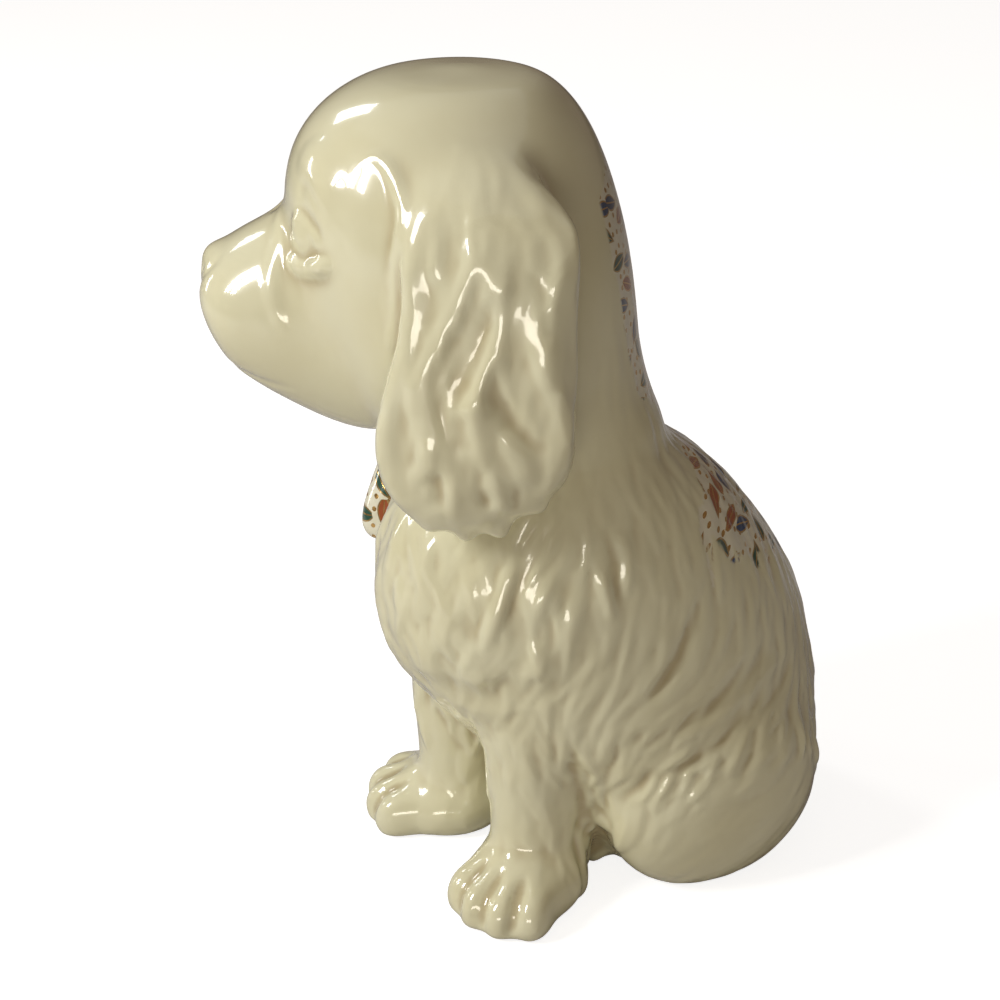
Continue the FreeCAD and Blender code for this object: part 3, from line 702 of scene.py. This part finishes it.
# Place down the back or height on the head, and the patch's half width there
SADDLE = ((-56.0, outside), (-52.0, 9.0), (-47.0, 18.0), (-40.0, 19.0), (-30.0, 14.0), (-22.0, 8.0),
          (-17.0, outside))
NAPE = ((2.0, outside), (9.0, 5.0), (22.0, 6.5), (40.0, 5.0), (47.0, outside))
saddle_half = np.interp(down_back, *zip(*SADDLE))
nape_half = np.interp(head_high, *zip(*NAPE))
ear_tip_top = 70.0
saddle = np.where((y > 0.0) & (label == torso_number), saddle_half - np.abs(x), outside)
nape = np.where((head_ahead < 0.0) & (label == head_number), nape_half - np.abs(head_out), outside)
ear_tip = np.where(label == right_ear_number, ear_tip_top - z, outside)
inside = np.maximum(np.maximum(saddle, nape), ear_tip)
tuft = coat / (0.35 + mean_relief)
painted = smooth_step(0.0, 0.8, inside - 5.0 * (tuft - 0.9))
painted = painted * (1.0 - 0.9 * smooth_step(1.15, 1.35, tuft))
# Where each point lies in the flat pattern; every patch has its own stretch of it
nape_stretch, ear_stretch = 40.0, 80.0
paint_place = np.stack((x, down_back, 0.0 * z), axis=1)
for patch, across in ((nape, head_out + nape_stretch), (ear_tip, head_ahead + ear_stretch)):
    there = patch > outside
    paint_place[there] = np.stack((across, head_high, 0.0 * z), axis=1)[there]

# The skin goes back to its castings: each face belongs to the nearest one, lone islands go to their
# neighbour, and the seams are relaxed.
vertex_share = np.zeros((len(points), len(castings)))
vertex_share[np.arange(len(points)), label] = 1.0
relax_passes = 14
for _ in range(relax_passes):
    vertex_share = mean_of_neighbours(vertex_share, edges, count)
quads = np.array(corners)
face_label = vertex_share[quads].sum(axis=1).argmax(axis=1)
pairs = np.sort(np.concatenate([quads[:, (step, (step + 1) % 4)] for step in range(4)]), axis=1)
keys = pairs[:, 0] * len(points) + pairs[:, 1]
order = np.argsort(keys, kind="stable")
sorted_keys = keys[order]
twin = np.flatnonzero(sorted_keys[1:] == sorted_keys[:-1])
face_pairs = np.stack((order[twin] % len(quads), order[twin + 1] % len(quads)), axis=1)


def islands(face_label):
    """Numbers the connected patches of faces that have the same label."""
    joined = face_pairs[face_label[face_pairs[:, 0]] == face_label[face_pairs[:, 1]]]
    patch = np.arange(len(face_label))
    while True:
        first, other = patch[joined[:, 0]], patch[joined[:, 1]]
        if np.array_equal(first, other):
            return patch
        lowest = np.minimum(first, other)
        np.minimum.at(patch, first, lowest)
        np.minimum.at(patch, other, lowest)
        patch = patch[patch]
        patch = patch[patch]


# The pour hole, and the faces of the seat that lie over it
vent_back = 15.0
vent_recess_radius, vent_recess_depth, vent_radius, floor_thickness = 10.0, 1.9, 7.0, 4.5
vent_edge = 0.3
middle = points[quads].mean(axis=1)
from_vent = np.hypot(middle[:, 0], middle[:, 1] - vent_back)
at_vent = (middle[:, 2] < vent_edge) & (from_vent < vent_recess_radius - vent_edge)
stopper_number = castings.index("stopper")
face_label[face_label == stopper_number] = torso_number
face_label[at_vent] = stopper_number
for _ in range(4):
    patch = islands(face_label)
    size = np.bincount(patch, minlength=len(quads))
    main = np.zeros(len(quads), bool)
    for number in range(len(castings)):
        own = np.flatnonzero(face_label == number)
        if len(own):
            main |= patch == patch[own[size[patch[own]].argmax()]]
    if main.all():
        break
    for first, other in ((0, 1), (1, 0)):
        lone = ~main[face_pairs[:, first]] & main[face_pairs[:, other]]
        face_label[face_pairs[lone, first]] = face_label[face_pairs[lone, other]]


# Radius and height of the way in: the recess, the hole with rounded edges and the hollow above it
INSIDE_RINGS = ((vent_recess_radius, vent_recess_depth), (vent_radius + vent_edge, vent_recess_depth),
                (vent_radius, vent_recess_depth + vent_edge), (vent_radius, floor_thickness),
                (11.0, 4.8), (14.0, 8.0), (15.5, 16.0), (15.5, 28.0), (13.0, 38.0), (8.0, 46.0), (2.0, 49.0))
inside_top = 49.5


def rim_loops(own):
    """The closed rims of a patch of faces, each a row of points that runs with the faces."""
    sides = np.concatenate([own[:, (step, (step + 1) % 4)] for step in range(4)])
    there = {tuple(side) for side in sides.tolist()}
    onward = {}
    for start, end in there:
        if (end, start) not in there:
            onward.setdefault(start, []).append(end)
    loops = []
    while onward:
        start = next(iter(onward))
        loop = [start]
        at = start
        while True:
            ends = onward[at]
            following = ends.pop()
            if not ends:
                del onward[at]
            if following == start or following not in onward:
                break
            loop.append(following)
            at = following
        if len(loop) > 2:
            loops.append(loop)
    return loops


def glazed_piece(number):
    """One casting's part of the skin, closed where it meets its neighbours, as a finished object."""
    own = quads[face_label == number]
    used, inverse = np.unique(own, return_inverse=True)
    own = inverse.reshape(-1, 4)
    place = points[used].copy()
    facing = normals[used].copy()
    values = {"hollow": hollow[used], "broad_hollow": broad_hollow[used], "painted": painted[used]}
    faces = own.tolist()
    extra, extra_facing = [], []
    for loop in rim_loops(own):
        rim = place[loop]
        centre = rim.mean(axis=0)
        off_axis = math.hypot(centre[0], centre[1] - vent_back)
        if number == torso_number and centre[2] < 0.6 and off_axis < 4.0:
            angle = np.arctan2(rim[:, 1] - vent_back, rim[:, 0])
            place[loop] = np.stack((vent_recess_radius * np.cos(angle),
                                    vent_back + vent_recess_radius * np.sin(angle),
                                    np.zeros(len(loop))), axis=1)
            previous = list(loop)
            for radius, height in INSIDE_RINGS:
                start = len(place) + len(extra)
                for turn in angle:
                    extra.append((radius * math.cos(turn), vent_back + radius * math.sin(turn), height))
                    extra_facing.append((-math.cos(turn), -math.sin(turn), 0.0))
                current = [start + step for step in range(len(loop))]
                for step in range(len(loop)):
                    after = (step + 1) % len(loop)
                    faces.append([previous[after], previous[step], current[step], current[after]])
                previous = current
            extra.append((0.0, vent_back, inside_top))
            extra_facing.append((0.0, 0.0, -1.0))
            top = len(place) + len(extra) - 1
            for step in range(len(loop)):
                faces.append([previous[(step + 1) % len(loop)], previous[step], top])
            continue
        # A joint face under the skin: a collar straight inward, then a shallow cup
        inward = -facing[loop]
        collar = rim + inward * min(0.8, 0.2 * math.sqrt(len(loop)))
        first = len(place) + len(extra)
        extra += [tuple(corner) for corner in collar]
        extra_facing += [tuple(corner) for corner in facing[loop]]
        cup = inward.mean(axis=0)
        extra.append(tuple(collar.mean(axis=0) + cup * min(3.0, 0.05 * len(loop))))
        extra_facing.append((0.0, 0.0, 1.0))
        hub = len(place) + len(extra) - 1
        for step in range(len(loop)):
            after = (step + 1) % len(loop)
            faces.append([loop[after], loop[step], first + step, first + after])
            faces.append([first + after, first + step, hub])
    if extra:
        place = np.vstack((place, np.array(extra)))
        facing = np.vstack((facing, np.array(extra_facing)))
    glazed = bpy.data.meshes.new("glazed_" + castings[number])
    glazed.from_pydata((place * mm).tolist(), [], faces)
    glazed.shade_smooth()
    glazed.normals_split_custom_set_from_vertices(facing.tolist())
    for name, value in values.items():
        attribute = glazed.attributes.new(name, "FLOAT", "POINT")
        carried = np.concatenate((value, np.zeros(len(extra))))
        attribute.data.foreach_set("value", carried.astype(np.float32))
    attribute = glazed.attributes.new("paint_place", "FLOAT_VECTOR", "POINT")
    pattern = np.vstack((paint_place[used], np.zeros((len(extra), 3))))
    attribute.data.foreach_set("vector", pattern.ravel().astype(np.float32))
    piece = bpy.data.objects.new("glazed_" + castings[number], glazed)
    scene.collection.objects.link(piece)
    piece.data.materials.append(glaze)
    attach(piece, "figure")
    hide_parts(castings[number])


# The painter's sprigs: leaves with a gold outline and midrib in cobalt, green and iron red, with gold
# dots between them, brushed on in overglaze enamel. All of it comes from the paint_place attribute.
def calc(tree, operation, *values):
    """A math node on numbers or sockets; gives its result socket."""
    node = tree.nodes.new("ShaderNodeMath")
    node.operation = operation
    for socket, value in zip(node.inputs, values):
        if isinstance(value, (int, float)):
            socket.default_value = value
        else:
            tree.links.new(value, socket)
    return node.outputs[0]


def mixed(tree, factor, first, second):
    """A colour mix of two colours or sockets; gives its result socket."""
    node = tree.nodes.new("ShaderNodeMix")
    node.data_type = "RGBA"
    tree.links.new(factor, node.inputs["Factor"])
    for name, value in (("A", first), ("B", second)):
        if isinstance(value, tuple):
            node.inputs[name].default_value = value + (1.0,)
        else:
            tree.links.new(value, node.inputs[name])
    return node.outputs["Result"]


def sharp(tree, distance):
    """From 0 outside a shape to 1 inside, over a thin edge."""
    steepness = 8.0
    inner = calc(tree, "MAXIMUM", calc(tree, "MULTIPLY", distance, steepness), 0.0)
    return calc(tree, "MINIMUM", inner, 1.0)


leaf_reach, leaf_half_width, leaf_taper = 2.6, 1.2, 0.4
outline_width, rib_half_width, dot_radius = 0.22, 0.10, 0.19
cobalt_share, not_red_share = 0.42, 0.70
cobalt, leaf_green, iron_red = (0.025, 0.06, 0.16), (0.03, 0.085, 0.06), (0.33, 0.085, 0.03)
gold_colour = (0.70, 0.44, 0.15)
sprigs = bpy.data.node_groups.new("painted_sprigs", "ShaderNodeTree")
for name, in_out, kind in (("Place", "INPUT", "NodeSocketVector"), ("Colour", "OUTPUT", "NodeSocketColor"),
                           ("Paint", "OUTPUT", "NodeSocketFloat"), ("Gold", "OUTPUT", "NodeSocketFloat")):
    sprigs.interface.new_socket(name=name, in_out=in_out, socket_type=kind)
group_in = sprigs.nodes.new("NodeGroupInput")
group_out = sprigs.nodes.new("NodeGroupOutput")


def flat_cells(scale, randomness):
    """A flat pattern of cells over the place that the group is given."""
    node = sprigs.nodes.new("ShaderNodeTexVoronoi")
    node.voronoi_dimensions = "2D"
    node.inputs["Scale"].default_value = scale
    node.inputs["Randomness"].default_value = randomness
    sprigs.links.new(group_in.outputs["Place"], node.inputs["Vector"])
    return node


leaf_cells, dot_cells = flat_cells(0.21, 0.6), flat_cells(0.5, 0.5)
from_middle = sprigs.nodes.new("ShaderNodeVectorMath")
from_middle.operation = "SUBTRACT"
turned = sprigs.nodes.new("ShaderNodeVectorRotate")
turned.rotation_type = "Z_AXIS"
axes = sprigs.nodes.new("ShaderNodeSeparateXYZ")
lots = sprigs.nodes.new("ShaderNodeSeparateColor")
sprigs.links.new(group_in.outputs["Place"], from_middle.inputs[0])
sprigs.links.new(leaf_cells.outputs["Position"], from_middle.inputs[1])
sprigs.links.new(leaf_cells.outputs["Color"], lots.inputs["Color"])
sprigs.links.new(from_middle.outputs["Vector"], turned.inputs["Vector"])
whole_turn = 6.28
sprigs.links.new(calc(sprigs, "MULTIPLY", lots.outputs["Red"], whole_turn), turned.inputs["Angle"])
sprigs.links.new(turned.outputs["Vector"], axes.inputs["Vector"])
along = calc(sprigs, "DIVIDE", axes.outputs["X"], leaf_reach)
beside = calc(sprigs, "ABSOLUTE", axes.outputs["Y"])
bulge = calc(sprigs, "SUBTRACT", 1.0, calc(sprigs, "MULTIPLY", along, along))
tapered = calc(sprigs, "ADD", calc(sprigs, "MULTIPLY", along, leaf_taper), leaf_half_width)
in_leaf = calc(sprigs, "SUBTRACT", calc(sprigs, "MULTIPLY", bulge, tapered), beside)
leaf = sharp(sprigs, in_leaf)
core = sharp(sprigs, calc(sprigs, "SUBTRACT", in_leaf, outline_width))
rib = calc(sprigs, "MULTIPLY", calc(sprigs, "LESS_THAN", beside, rib_half_width), core)
dot = calc(sprigs, "MULTIPLY", calc(sprigs, "LESS_THAN", dot_cells.outputs["Distance"], dot_radius),
           calc(sprigs, "SUBTRACT", 1.0, leaf))
outline = calc(sprigs, "SUBTRACT", leaf, core)
gold = calc(sprigs, "MAXIMUM", calc(sprigs, "MAXIMUM", outline, rib), dot)
lot = lots.outputs["Green"]
leaf_colour = mixed(sprigs, calc(sprigs, "GREATER_THAN", lot, cobalt_share), cobalt, leaf_green)
leaf_colour = mixed(sprigs, calc(sprigs, "GREATER_THAN", lot, not_red_share), leaf_colour, iron_red)
sprigs.links.new(mixed(sprigs, gold, leaf_colour, gold_colour), group_out.inputs["Colour"])
sprigs.links.new(calc(sprigs, "MAXIMUM", leaf, dot), group_out.inputs["Paint"])
sprigs.links.new(gold, group_out.inputs["Gold"])

# Cream glaze over a pale earthenware body: glossy, thin and pale on the ridges, thicker and a warmer
# olive brown where it has run into the furrows, with a faint cloudiness. The olive of the furrows and
# the brown of the broad folds are partly pooled glaze and partly painted shade. The foot is wiped dry.
glaze = bpy.data.materials.new("glaze")
glaze.use_nodes = True
tree = glaze.node_tree
nodes, links = tree.nodes, tree.links
shader = nodes["Principled BSDF"]


def mesh_value(name):
    """A value that the mesh carries."""
    node = nodes.new("ShaderNodeAttribute")
    node.attribute_name = name
    return node


def share_of(socket, low, high):
    """Where a value lies between two limits, from 0 to 1."""
    node = nodes.new("ShaderNodeMapRange")
    node.interpolation_type = "SMOOTHSTEP"
    node.inputs["From Min"].default_value = low
    node.inputs["From Max"].default_value = high
    links.new(socket, node.inputs["Value"])
    return node.outputs["Result"]


object_place = nodes.new("ShaderNodeTexCoord")
clouds = nodes.new("ShaderNodeTexNoise")
clouds.inputs["Scale"].default_value = 70.0
clouds.inputs["Detail"].default_value = 3.0
links.new(object_place.outputs["Object"], clouds.inputs["Vector"])
cream, warm_cream = (0.76, 0.735, 0.525), (0.73, 0.695, 0.475)
furrow_olive_and_shade, fold_glaze_and_shade_brown = (0.53, 0.46, 0.28), (0.46, 0.36, 0.21)
painted_ground, bare_body = (0.80, 0.78, 0.69), (0.70, 0.64, 0.52)
thin = mixed(tree, share_of(clouds.outputs["Fac"], 0.3, 0.7), cream, warm_cream)
# Painted shade: furrows darken to olive and broad folds to brown, partly pooled glaze, partly shade
furrow_glaze_and_shade = mixed(tree, share_of(mesh_value("hollow").outputs["Fac"], -0.03, 0.28), thin, furrow_olive_and_shade)
pooled_glaze_and_shade = mixed(tree, share_of(mesh_value("broad_hollow").outputs["Fac"], 0.3, 2.2), furrow_glaze_and_shade, fold_glaze_and_shade_brown)
painting = nodes.new("ShaderNodeGroup")
painting.node_tree = sprigs
links.new(mesh_value("paint_place").outputs["Vector"], painting.inputs["Place"])
patch_here = mesh_value("painted").outputs["Fac"]
enamel = calc(tree, "MULTIPLY", painting.outputs["Paint"], patch_here)
gilt = calc(tree, "MULTIPLY", painting.outputs["Gold"], patch_here)
ground = mixed(tree, calc(tree, "MULTIPLY", patch_here, 0.6), pooled_glaze_and_shade, painted_ground)
decorated = mixed(tree, enamel, ground, painting.outputs["Colour"])
height_here = nodes.new("ShaderNodeSeparateXYZ")
links.new(object_place.outputs["Object"], height_here.inputs["Vector"])
foot_dry_to, foot_glazed_from = 0.3 * mm, 0.8 * mm
glazed_here = share_of(height_here.outputs["Z"], foot_dry_to, foot_glazed_from)
links.new(mixed(tree, glazed_here, bare_body, decorated), shader.inputs["Base Color"])
links.new(calc(tree, "MULTIPLY", gilt, 0.85), shader.inputs["Metallic"])
rough = nodes.new("ShaderNodeMapRange")
rough.inputs["To Min"].default_value = 0.65
rough.inputs["To Max"].default_value = 0.16
links.new(glazed_here, rough.inputs["Value"])
links.new(rough.outputs["Result"], shader.inputs["Roughness"])
links.new(glazed_here, shader.inputs["Coat Weight"])
shader.inputs["Coat Roughness"].default_value = 0.03
for number, name in enumerate(castings):
    if name != "stopper":
        glazed_piece(number)
bpy.data.objects.remove(clay)

# The stopper: soft white plastic, moulded in one piece with a dished flange, a hollow stem and three
# rounded rings that grip the hole. It is pushed in by hand.
soft_plastic = bpy.data.materials.new("soft_plastic")
soft_plastic.use_nodes = True
tree = soft_plastic.node_tree
nodes, links = tree.nodes, tree.links
shader = nodes["Principled BSDF"]
object_place = nodes.new("ShaderNodeTexCoord")
mottle = nodes.new("ShaderNodeTexNoise")
mottle.inputs["Scale"].default_value = 300.0
links.new(object_place.outputs["Object"], mottle.inputs["Vector"])
whites = mixed(tree, share_of(mottle.outputs["Fac"], 0.3, 0.7), (0.83, 0.81, 0.75), (0.78, 0.76, 0.70))
links.new(whites, shader.inputs["Base Color"])
links.new(mottle.outputs["Fac"], shader.inputs["Roughness"])
shader.inputs["Subsurface Weight"].default_value = 0.15
shader.inputs["Subsurface Radius"].default_value = (0.001, 0.001, 0.001)
flange_bottom, flange_top, stem_radius, stem_top = 0.52, 1.82, 6.32, 11.82
ring_proud, ring_half_height, ring_steps = 0.6, 0.7, 8
# Radius and height of the turned outline, from the middle of the dish to the middle of the bore
profile = [(0.0, 1.02), (5.3, 1.02), (5.5, 0.82), (5.7, flange_bottom), (8.3, flange_bottom), (8.5, 0.64),
           (8.9, 0.64), (9.1, flange_bottom), (9.4, flange_bottom), (9.6, 0.72), (9.6, 1.62), (9.4, flange_top),
           (stem_radius + 0.15, flange_top)]
for low in (1.90, 3.467, 5.033):
    for step in range(ring_steps + 1):
        turn = math.pi * step / ring_steps
        profile.append((stem_radius + ring_proud * math.sin(turn),
                        low + ring_half_height - ring_half_height * math.cos(turn)))
profile += [(stem_radius, 11.2), (6.1, 11.7), (5.8, stem_top), (5.2, stem_top), (4.9, 11.7), (4.72, 11.4),
            (4.72, 2.1), (4.5, flange_top), (0.0, flange_top)]
outline_mesh = bpy.data.meshes.new("soft_stopper")
outline_mesh.from_pydata([(radius * mm, 0.0, height * mm) for radius, height in profile],
                         [(step, step + 1) for step in range(len(profile) - 1)], [])
soft_stopper = bpy.data.objects.new("soft_stopper", outline_mesh)
scene.collection.objects.link(soft_stopper)
selected(soft_stopper)
lathe = soft_stopper.modifiers.new("lathe", "SCREW")
lathe.axis = "Z"
lathe_steps = 96
lathe.steps = lathe_steps
lathe.render_steps = lathe_steps
lathe.use_merge_vertices = True
lathe.merge_threshold = 0.01 * mm
lathe.use_smooth_shade = True
bpy.ops.object.modifier_apply(modifier=lathe.name)
soft_stopper.location = (0.0, vent_back * mm, 0.0)
bpy.ops.object.transform_apply(location=True, rotation=False, scale=False)
bpy.ops.object.mode_set(mode="EDIT")
bpy.ops.mesh.select_all(action="SELECT")
bpy.ops.mesh.normals_make_consistent(inside=False)
bpy.ops.object.mode_set(mode="OBJECT")
soft_stopper.data.materials.append(soft_plastic)
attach(soft_stopper, "stopper")
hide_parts("stopper")
